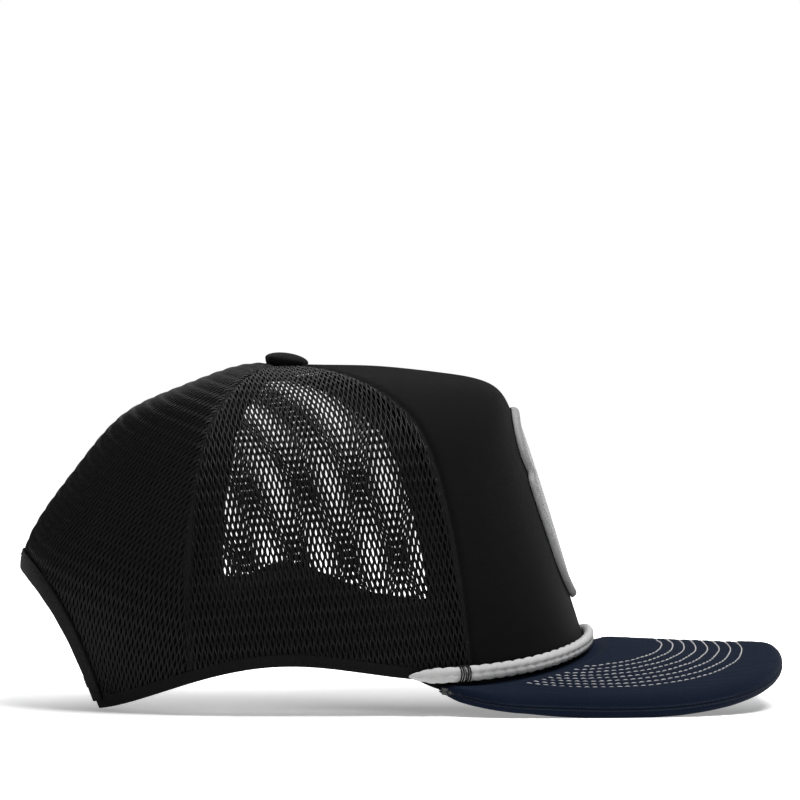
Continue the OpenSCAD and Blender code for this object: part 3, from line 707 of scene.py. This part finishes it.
def knit(name, centre, low, high, node, tilt, mirror, limit=None):
    """Mesh panel between two directions, made for the left side and mirrored for the right one."""
    place, (p0, p1), (q0, q1) = panel_map(centre, low, high)
    x, y = yarn_paths(math.hypot(p1 - p0, q1 - q0) / 2 + 6)
    turn = math.radians(tilt)
    p = x * math.cos(turn) - y * math.sin(turn) + (p0 + p1) / 2
    q = x * math.sin(turn) + y * math.cos(turn) + (q0 + q1) / 2
    a, t, ok = place(p, q)
    if limit is not None:
        ok &= limit(a, t)
    keep = ok.any(1)
    a, t, ok = a[keep], t[keep], ok[keep]
    ok = ok & (a > low + knit_margin) & (a < high - knit_margin) & (t < knit_foot)
    relief = 0.13 * np.cos(math.pi * y[keep] / row_step)
    dip = sum(np.minimum(seam_dip(a, t, seam, 0.6, 1.6), 0.6) for seam in (low, high) if seam < 180)
    middle = crown(a, t, relief - dip - knit_depth)
    normal = crown_normal(a, t)
    sideways = unit(np.cross(normal, unit(np.gradient(middle, axis=1))))
    gathered = 1 + 0.4 * (1 - smooth_step(t, 0.12, 0.34))[..., None]
    thick, wide = normal * yarn_thick * gathered, sideways * yarn_wide * gathered
    ring = np.stack([middle + thick, middle + wide, middle - thick, middle - wide], 2)
    points, quads = yarn_mesh(ring, ok)
    return make_piece(name, points * [1, -1 if mirror else 1, 1], quads, nylon, [node])


def above_arch(a, t):
    """True where the panel lies above the arch edge, with room for the binding's fold."""
    angle = 180 - np.abs(a)
    w = np.clip(angle / arch_a, 0, 1)
    edge = (arch_h + 0.5) * (1 - w ** arch_square) ** (1 / arch_square)
    return (angle > arch_a + 0.3) | (meridian(a, t)[1] > edge)


for side, mirror in (("right", True), ("left", False)):
    knit(f"side_knit_{side}", 80, front_seam, side_seam, f"side_mesh_{side}", 4, mirror)
    knit(f"back_knit_{side}", 146, side_seam, 180, f"back_mesh_{side}", -17, mirror, above_arch)

# %% [markdown]
# The foot of the mesh is turned in and sewn, which leaves a closed hem with a row of small loops.

# %% Hem at the foot
hem_h, hem_t, loop_pitch = 4.2, 0.95, 1.5
for side, sign in both_sides:
    directions = np.linspace(front_seam + 0.5, 180 - arch_a - 0.5, 420)
    a, u = np.meshgrid(directions, np.linspace(0, 1, 12), indexing="ij")
    start = share_at(directions, foot_z(directions) + hem_h)[:, None]
    t = start + (1 - start) * u
    run = lengths_along(crown_point(directions, 1.0))
    loops = 0.16 * np.abs(np.sin(math.pi * run / loop_pitch))[:, None] * np.sin(math.pi * u)
    if sign < 0:
        a, t, loops = -a[::-1], t[::-1], loops[::-1]
    layer(f"foot_hem_{side}", a, t, 0.0, hem_t, lining_knit, (), loops - 0.02)

# %% [markdown]
# A thin dark lining lies behind the back panels and keeps the light from them. The sweatband is a
# padded strip inside the foot: it swells a little between its two seams, and its upper edge is wavy.

# %% Back linings
lining_top = 0.07
for side, sign in both_sides:
    directions = spread(side_seam + 4, 176.4, 60)
    w = np.clip((180 - directions) / (arch_a + 4.35), 0, 1)
    over_arch = (arch_h + binding_w) * (1 - w ** arch_square) ** (1 / arch_square)
    low_z = np.maximum(over_arch, foot_z(directions) + 1.2)
    a, u = np.meshgrid(directions, np.linspace(0, 1, 61), indexing="ij")
    t = lining_top + (share_at(directions, low_z)[:, None] - lining_top) * u
    pad = 0.06 * np.sin(a * 1.9) * np.sin(u * 30)
    layer(f"back_liner_{side}", sign * a, t, lining_back, lining_t, lining_knit, [f"back_lining_{side}"], pad)

# %% Sweatband
band_end, band_foot, band_seams, band_t, band_swell = 180 - arch_a - 10, 0.992, (0.06, 0.93), 0.55, 0.75
directions = spread(-band_end, band_end, 420)


def band_height(a):
    """Height above the foot: lowest in front, with a sag by each side seam and small waves."""
    around = np.abs(a)
    sag = 11.5 * (1 - smooth_step(around, 55, 98)) + 4 * np.exp(-((around - 101) / 7) ** 2)
    return 32 - sag + 0.7 * np.sin(np.radians(a * 8.3)) + 0.5 * np.sin(np.radians(a * 19 + 50))


def band_share(a, u):
    """Share of the crown at the part u of the sweatband's height, from its top to its foot."""
    top = share_at(a, foot_z(a) + band_height(a))
    return top + (band_foot - top) * u


a, u = np.meshgrid(directions, spread(0, 1, 44, 0.4), indexing="ij")
t = band_share(a, u)
seam_line = sum(np.exp(-((u - seam) / 0.014) ** 2) for seam in band_seams)
bulge = band_swell * np.sqrt(np.clip(u * (1 - u) * 4, 0, 1)) - 0.3 * seam_line
outer = crown(a, t, -band_back - 0.05 * seam_line)
inner = crown(a, t, -band_back - band_t - bulge - 0.08 * np.sin(a * 2.4 + u * 5))
run = lengths_along(outer.swapaxes(0, 1)).swapaxes(0, 1)[:, 22]
band_uv = cloth_lengths(run, lengths_along(outer))
sweatband = make_piece("sweatband_pad", *slab(outer, inner), band_jersey, ["sweatband"],
                       np.concatenate([band_uv, band_uv]))

# %% Label
label_at, label_half, label_top, label_h, label_t = -128, 6.8, 24, 14, 0.25
a, u = np.meshgrid(spread(label_at - label_half, label_at + label_half, 24), spread(0, 1, 24), indexing="ij")
t = share_at(a, foot_z(a) + label_top - label_h * u)
curl = 0.105 * np.abs(a - label_at) / label_half * u
layer("size_label", a, t, band_back + 1.5 + lay, label_t, label_satin, ["inner_label"], curl)

# %% [markdown]
# The bill is a stiff board between two cloth covers. Seen from above, its edge is a squared curve; seen
# from the front it bends down at both sides. A point of it is given by u, from one side to the other,
# the distance s from the outer edge, and a height above its middle layer.

# %% The bill's surface
bill_reach, bill_half_w, bill_curve_r, bill_square = 182, 87, 240, 3.1
bill_rise, bill_fall, bill_t, board_t = 19.3, 0.04, 8, 2.4
bill_root, bill_turn, bill_rear = 54, 116, 60
bill_centre = front_reach - crown_back - 25
bill_front = bill_reach - crown_back - bill_centre
bill_rim, bill_edge, swell_room, pinch_h, cover_gap = 4, 0.3, 9, 1.7, 0.1
stitch_margin, stitch_pitch, stitch_rows = 15, 4.26, 8
stitch_places = stitch_margin + stitch_pitch * np.arange(stitch_rows)


def bill_z(x, y):
    """Height of the middle layer: a slight fall forwards, and a circular bend from side to side."""
    bend = bill_curve_r - np.sqrt(bill_curve_r ** 2 - y * y)
    return bill_rise - bill_fall * (x + crown_back - front_reach) - bend


def bill_inner(u):
    """Inner edge, just clear of the crown."""
    a = bill_root * u
    g = crown_point(a, share_at(a, bill_rise - 14 * u * u))
    return g[..., :2] + unit(g[..., :2] + [crown_back, 0]) * 2 * lay


def bill_outer(u):
    """Outer edge: a squared ellipse in front of its centre and a plain one behind."""
    angle = np.radians(bill_turn * u)
    c, s = np.cos(angle), np.sin(angle)
    x = np.where(c > 0, bill_front * np.abs(c) ** (2 / bill_square), bill_rear * c)
    y = np.where(c > 0, np.sign(s) * np.abs(s) ** (2 / bill_square), s)
    return np.stack([bill_centre + x, bill_half_w * y], -1)


def bill_width(u):
    return np.linalg.norm(bill_outer(u) - bill_inner(u), axis=-1)


def narrowing(w):
    """Factor under 1 for the rim and the pinch, where the bill is too narrow for their full width."""
    return np.minimum(1, 0.45 * w / swell_room)


def bill_point(u, s, height):
    u, s, height = np.broadcast_arrays(*(np.asarray(x, float) for x in (u, s, height)))
    outer, inner = bill_outer(u), bill_inner(u)
    p = outer + (inner - outer) * (s / np.linalg.norm(outer - inner, axis=-1))[..., None]
    return np.stack([p[..., 0], p[..., 1], bill_z(p[..., 0], p[..., 1]) + height], -1)


def bill_skin(u, s):
    """Height of a cover above the middle layer: a round rim, a flat face that is pulled down along each
    stitching row and puffs up between them, and a pinch where the cover meets the crown."""
    w = bill_width(u)
    k = narrowing(w)
    low = pinch_h + 0.2
    full = low + (bill_t / 2 - low) * np.minimum(1, w / 25)
    rim = bill_rim * k
    edge = np.sqrt(np.clip(1 - (1 - np.clip(s / rim, 0, 1)) ** 2, 0, 1))
    pinch = smooth_step(s, w - swell_room * k, w - 3.6 * k)
    height = 0.5 + (full - 0.5) * edge
    height = height + (pinch_h - height) * pinch
    puff = np.zeros_like(height)
    for at in stitch_places:
        there = smooth_step(w, at + swell_room, at + swell_room + 3)
        puff = puff - there * (0.42 * np.exp(-((s - at) / 0.75) ** 2))
    border = np.sin(math.pi * np.clip(s / (stitch_margin + 0.5), 0, 1)) * smooth_step(w, 24, 34)
    crease = 0.07 * np.sin(u * 71 + s * 0.9) * np.sin(s * 0.55 + u * 23)
    end = np.sqrt(np.clip((1 - np.abs(u)) / 0.035, 0, 1))
    soft = (puff + 0.35 * border + crease) * smooth_step(s, 0, 5) * (1 - pinch)
    return bill_edge + (height - bill_edge + soft) * end


def bill_floor(u, s):
    """Underside of a cover: near the middle layer at the rims and clear of the board between them."""
    w = bill_width(u)
    k = narrowing(w)
    lift = smooth_step(s, 2.2 * k, 3 * k) * (1 - smooth_step(s, w - 5 * k, w - 4.2 * k))
    return cover_gap + (board_t / 2 + lay - cover_gap) * lift * (1 - smooth_step(np.abs(u), 0.95, 0.985))


print("bill: width in the middle", bill_width(np.array(0.0)), "millimetres")

# %% Bill covers
def distances(w):
    """Distances from the outer edge over the width w: fine round the rim, even over the rows, then a
    stretch that fills what is left."""
    fixed = np.concatenate([rim_steps * narrowing(w), row_steps[row_steps < w - 10]])
    rest = np.linspace(fixed[-1], w, bill_steps - len(fixed) + 1)[1:]
    return np.concatenate([fixed, rest])


rim_steps = (1 - np.cos(np.linspace(0, math.pi / 2, 8))) * bill_rim
row_steps, bill_steps = np.linspace(bill_rim, 60, 86)[1:], 126
u_line = np.linspace(-1, 1, 211)
u_line = np.sign(u_line) * np.abs(u_line) ** 0.9
s_grid = np.stack([distances(w) for w in bill_width(u_line)])
u_grid = np.broadcast_to(u_line[:, None], s_grid.shape)
flat = bill_point(u_grid, s_grid, 0)
bill_uv = np.concatenate([flat[..., :2].reshape(-1, 2)] * 2)
skin_z, floor_z = bill_skin(u_grid, s_grid), bill_floor(u_grid, s_grid)
for name, node, sign in (("bill_cover", "bill_top", 1), ("bill_lining", "bill_under", -1)):
    faces = [bill_point(u_grid, s_grid, sign * height) for height in (skin_z, floor_z)]
    make_piece(name, *slab(*faces), bill_weave, [node], bill_uv)

# %% [markdown]
# A line of stitching is short lengths of thread that dive into the cloth at each end. Each stitch is a
# small capsule that follows its row, and all the stitches of a kind become one mesh.

# %% Stitches
def stitches(name, lines, finish, nodes=(), pitch=3.0, length=2.3, radius=0.3, dive=0.25):
    """Capsules along lines (path, normal): radius r sqrt(1 - x^4) along x from -1 to 1, ends sunk by dive."""
    x = np.array([-1, -0.8, -0.3, 0.3, 0.8, 1])
    girth = radius * np.sqrt(np.clip(1 - x ** 4, 0.02, 1))[:, None, None]
    turn = whole_turn(6)[:, None]
    rings = []
    for path, normal in lines:
        run = lengths_along(path)
        middles = np.arange(pitch / 2, run[-1] - pitch / 2, pitch)
        at = middles[:, None] + x[None] * length / 2
        centre = np.stack([np.interp(at, run, path[:, k]) for k in range(3)], -1)
        raised = unit(np.stack([np.interp(at, run, normal[:, k]) for k in range(3)], -1))
        side = unit(np.cross(raised, unit(np.gradient(centre, axis=1))))
        centre = centre - raised * dive * (x ** 4)[None, :, None]
        round_it = raised[:, :, None] * np.sin(turn) + side[:, :, None] * np.cos(turn)
        rings.append(centre[:, :, None] + girth * round_it)
    return make_piece(name, *copies(np.concatenate(rings)), finish, nodes)


# %% [markdown]
# At each end of the rope the front cloth runs down behind it and closes the corner over the bill.

# %% Cloth at the bill's corners
corner_t = 0.7
for side, sign in both_sides:
    a = sign * np.linspace(40, 60.5, 60)[::sign]
    top = crown(a, share_at(a, foot_z(a) + 2.2), -0.3)
    low = crown(a, share_at(a, foot_z(a) + 0.3), -0.1)
    to_bill = np.minimum(low[:, 2], bill_z(low[:, 0], low[:, 1]) - 0.6)
    low[:, 2] += (to_bill - low[:, 2]) * (1 - smooth_step(np.abs(a), 51, 60))
    down = np.linspace(0, 1, 12)[None, :, None]
    sheet = top[:, None] * (1 - down) + low[:, None] * down
    inward = unit(sheet * [1, 1, 0] + [crown_back, 0, 0]) * corner_t
    sheet_uv = cloth_lengths(lengths_along(top), np.linspace(0, 8, 12))
    make_piece(f"bill_corner_cloth_{side}", *slab(sheet, sheet - inward), crown_twill, (),
               np.concatenate([sheet_uv, sheet_uv]))

# %% Stitches on the bill
rows = []
for row, at in enumerate(stitch_places):
    u = np.linspace(-0.93, 0.93, 700)
    u = u[bill_width(u) > at + swell_room + 1]
    wander = 0.12 * np.sin(u * 40 + row)
    path = bill_point(u, at + wander, bill_skin(u, np.full_like(u, at)) + 0.12)
    rows.append((path, np.broadcast_to(up, path.shape)))
stitches("bill_rows", rows, bill_thread, ["bill_stitching"], pitch=2.9, length=2.25, radius=0.3)
under_rows = []
for path, normal in rows:
    mirrored = 2 * bill_z(path[:, 0], path[:, 1]) - path[:, 2]
    under_rows.append((np.column_stack([path[:, :2], mirrored]), -normal))
stitches("bill_rows_below", under_rows, bill_thread, (), pitch=2.9, length=2.25, radius=0.28)

# %% Stitches on the binding and the sweatband
lines = []
u = np.linspace(-88, 88, 400)
for face in (binding_face, -mesh_t - binding_face):
    path = arch_point(u, binding_seam, face)
    a, t = arch_place(u, binding_seam)
    normal = crown_normal(a, t) * np.stack([np.ones_like(u), np.where(u > 0, 1, -1), np.ones_like(u)], -1)
    lines.append((path, normal * (1 if face > 0 else -1)))
stitches("arch_rows", lines, tack_thread, (), pitch=3.0, length=2.3, radius=0.2, dive=0.2)

lines = []
for seam in band_seams:
    a = np.linspace(-band_end + 1, band_end - 1, 1500)
    t = band_share(a, seam)
    depth = band_back + band_t + 0.1 + band_swell * math.sqrt(seam * (1 - seam) * 4)
    lines.append((crown(a, t, -depth), -crown_normal(a, t)))
stitches("band_rows", lines, tack_thread, (), pitch=3.2, length=2.4, radius=0.2, dive=0.15)

# %% [markdown]
# The rope is a flat braid: two rows of plaits that lean opposite ways and meet in a middle groove. Its
# section is an ellipse, and ridges slanting with the angle round it give the plaits. It lies in the
# groove above the bill, and its ends are tapered and tucked in beside the front seams.

# %% Rope
rope_h, rope_t, rope_end, plait_pitch = 5.6, 4, 60, 4.4
rope_lift = pinch_h + lay + rope_h / 2 + 0.2


def rope_centre(a):
    """Middle of the rope in direction a: on the crown at a fixed lift above the bill's middle layer."""
    low = crown_point(a, share_at(a, foot_z(a) + rope_lift))
    z = bill_z(low[..., 0], low[..., 1]) + rope_lift
    return crown(a, share_at(a, z), rope_t / 2 + lay)


def outward(a):
    return np.stack([np.cos(np.radians(a)), np.sin(np.radians(a)), np.zeros_like(a)], -1)


a = np.linspace(-rope_end, rope_end, 900)
path = rope_centre(a)
run = lengths_along(path)
turn = whole_turn(32)
slant = np.where(np.sin(turn) > 0, 1, -1) * 0.25 + np.cos(turn) * 0.55
plait = np.abs(np.sin(math.pi * (run[:, None] / plait_pitch + slant[None]))) ** 0.6
groove = 0.55 * np.exp(-(np.sin(turn) / 0.22) ** 2) * (np.cos(turn) > 0)
taper = np.sqrt(np.clip(np.minimum(run, run[-1] - run) / 9, 0.02, 1))
girth = (1 - 0.16 * (1 - plait) - groove[None] * 0.45) * taper[:, None]
ring = (path[:, None] + outward(a)[:, None] * (girth * np.cos(turn)[None] * rope_t / 2)[..., None]
        + up * (girth * np.sin(turn)[None] * rope_h / 2)[..., None])
make_piece("rope_braid", *tube(ring), rope_cotton, ["rope"])

# %% Thread tacks over the rope
tack_from, tack_step, tack_turns, tack_r, tack_lift = 48.5, 0.45, 5, 0.24, 0.12
angle, turn = np.radians(np.linspace(-88, 88, 24))[:, None], whole_turn(8)[:, None]
rings = []
for _, sign in both_sides:
    for k in range(tack_turns):
        at = np.array(sign * (tack_from + tack_step * k))
        outside, sideways = outward(at), outward(at + 90)
        crossing = up * (rope_h / 2 + tack_lift) + sideways * 0.25 * np.sin(k * 2.2)
        arc = (rope_centre(at) + outside * 0.1 + np.cos(angle) * outside * (rope_t / 2 + tack_lift)
               + np.sin(angle) * crossing)
        away = unit(np.cos(angle) * outside + np.sin(angle) * up)
        rings.append(arc[:, None] + tack_r * (away[:, None] * np.cos(turn) + sideways * np.sin(turn)))
make_piece("rope_wraps", *copies(np.stack(rings)), tack_thread, ["rope_tacks"])

# %% [markdown]
# The button is a shell covered in the crown's cloth. The cloth is gathered under its rim, which
# leaves small radial folds at the edge. It sits on the crown with a slight forward tilt.

# %% Button
button_d, button_h, button_lift, button_tilt = 16, 2.7, 1.5, 8
angle = whole_turn(120)
r = button_d / 2
climb = np.radians(np.linspace(0, 84, 22))
radius = np.concatenate([[0.05, r - 2, r - 1, r - 0.35], r * np.cos(climb), [0.05]])
height = np.concatenate([[-2.9, -2.9, -2.7, -1.5], (button_h + 0.1) * np.sin(climb) - 0.1, [button_h]])
fold = 0.1 * np.sin(angle * 17)[:, None] * np.exp(-((r - radius) / 1.3) ** 2)[None]
fold = fold + 0.05 * np.sin(angle * 2 + 0.6)[:, None] * (radius / r)[None]
reach = radius[None] + fold
local = np.stack([reach * np.cos(angle)[:, None], reach * np.sin(angle)[:, None],
                  height[None] + fold * 0.3], -1)
tilt = math.radians(button_tilt)
turned = np.stack([local[..., 0] * math.cos(tilt) + local[..., 2] * math.sin(tilt), local[..., 1],
                   -local[..., 0] * math.sin(tilt) + local[..., 2] * math.cos(tilt)], -1)
rings = turned.swapaxes(0, 1) + [-crown_back, 0, crown_h + button_lift]
button_uv = local.swapaxes(0, 1)[..., :2].reshape(-1, 2)
button_dome = make_piece("button_dome", *tube(rings), button_twill, ["button"], button_uv)

# %% [markdown]
# The patch is embroidered: its face is filled with long flat stitches, and a merrowed border, a thick
# overcast of thread, runs round it. The border is a bead with a ridge for each turn of thread. The face
# is left bare of any motif.

# %% Patch
patch_half_w, patch_half_h, patch_z, patch_t = 31, 37, 73, 1.3
patch_seat, patch_power, border_w, border_turn = 0.4, 3.4, 3.6, 0.75


def on_front(p, q, depth):
    """Point of the front panel, p to the left and q up from the patch's middle."""
    z = patch_z + q * 0.95
    reach = meridian(0.0, share_at(0.0, z))[0] + 3
    a = np.degrees(np.arcsin(np.clip(p / reach, -0.9, 0.9)))
    return crown(a, share_at(a, z), depth)


def patch_edge(b, grow):
    """Outline: a squared oval with a notch below each upper corner."""
    c, s = np.cos(b) / (patch_half_w + grow), np.sin(b) / (patch_half_h + grow)
    r = (np.abs(c) ** patch_power + np.abs(s) ** patch_power) ** (-1 / patch_power)
    notch = 1 - 0.09 * np.exp(-((np.degrees(np.arcsin(np.sin(b))) - 24) / 6) ** 2)
    return np.stack([r * np.cos(b), r * np.sin(b)], -1) * notch[..., None]


inside = patch_edge(whole_turn(240), -border_w + 0.6)
share = np.concatenate([[0.002], np.linspace(0.03, 1, 40)])
face = inside[None] * share[:, None, None]
swell = 0.25 * (1 - share ** 6)[:, None] + 0.05 * np.sin(face[..., 1] * 12.5)
front = on_front(face[..., 0], face[..., 1], patch_seat + patch_t + swell)
back = on_front(face[::-1, :, 0], face[::-1, :, 1], patch_seat)
face_uv = np.concatenate([face, face[::-1]]).reshape(-1, 2)
make_piece("patch_face", *tube(np.concatenate([front, back])), patch_cloth, ["patch"], face_uv)

# %% Border of the patch
angle, turn = whole_turn(1400), whole_turn(14)
edge, inner = patch_edge(angle, 0), patch_edge(angle, -border_w)
run = lengths_along(np.concatenate([edge, edge[:1]]))[:-1]
turns = 2 * math.pi * round(run[-1] / border_turn) / run[-1]
bead = 1 + 0.07 * np.sin(run * turns)
high = np.maximum(np.sin(turn), -0.15) * (patch_t + 0.75)
flat = edge[:, None] + (inner - edge)[:, None] * ((1 - np.cos(turn)) / 2)[None, :, None]
rings = on_front(flat[..., 0], flat[..., 1], patch_seat + 0.2 + high[None] * bead[:, None])
make_piece("patch_rim", *tube(rings, closed=True), patch_thread, ["patch_border"])

# %% [markdown]
# The straps, their sewn ends, the rivet and the bill's board keep their CAD shapes, which are right as
# they are, and get a finish of their own.

# %% Finishes on the CAD parts
finished = {"button_rivet": rivet_metal, "bill_board": board_fibre}
for node in ("hole_strap", "peg_strap", "hole_strap_tab", "peg_strap_tab"):
    finished[node] = strap_plastic
for node, finish in finished.items():
    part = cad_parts[node]
    part.data.materials.clear()
    part.data.materials.append(finish.material)
    print("finish on", node, finish.name)

# %% [markdown]
# The crown's cloth and linings are stretched sheets; the bill's covers, sweatband and button are padded.
# The area of the front cloth is worked out from its skin.

# %% Soft pieces
def cloth_area(piece):
    """Area of one face of a thin slab, in square metres: half the area of its skin."""
    return sum(p.area for p in piece.data.polygons) / 2


print("front cloth area", cloth_area(front_cloth))

# %% [markdown]
# The floor is a wide pale sheet. It glows, more so away from the cap, so that it fades to white. Its
# glow is dimmest just in front of the cap's middle: a painted shadow over the soft cast shadow there.

# %% Floor
floor_mesh = bpy.data.meshes.new("floor")
half_floor = 6
corners = [(x * half_floor, y * half_floor, 0) for x, y in ((-1, -1), (1, -1), (1, 1), (-1, 1))]
floor_mesh.from_pydata(corners, [], [(0, 1, 2, 3)])
floor = bpy.data.objects.new("floor", floor_mesh)
scene.collection.objects.link(floor)
floor_paint = Finish("floor_paint", "", Roughness=0.9, Base_Color=grey(0.85), Emission_Strength=1.0,
                     Specular_IOR_Level=0.1)
# Painted shadow: the floor's glow drops to 0.3 round a place 70 mm in front of the cap's middle.
shadow_centred = floor_paint.mapped(floor_paint.place(), Location=(0, 0.12, 0), Scale=(0.4, 1.7, 1))
from_painted_shadow = floor_paint.node("ShaderNodeVectorMath", {"operation": "LENGTH"}, [shadow_centred], 1)
painted_shadow_fade = {"Value": from_painted_shadow, "From Min": 0.05, "From Max": 0.22, "To Min": 0.3, "To Max": 0.95}
glow_with_painted_shadow = floor_paint.node("ShaderNodeMapRange", {}, painted_shadow_fade)
floor_paint.drive(Emission_Color=floor_paint.mix(glow_with_painted_shadow, (0, 0, 0, 1), (1, 1, 1, 1)))
floor.data.materials.append(floor_paint.material)
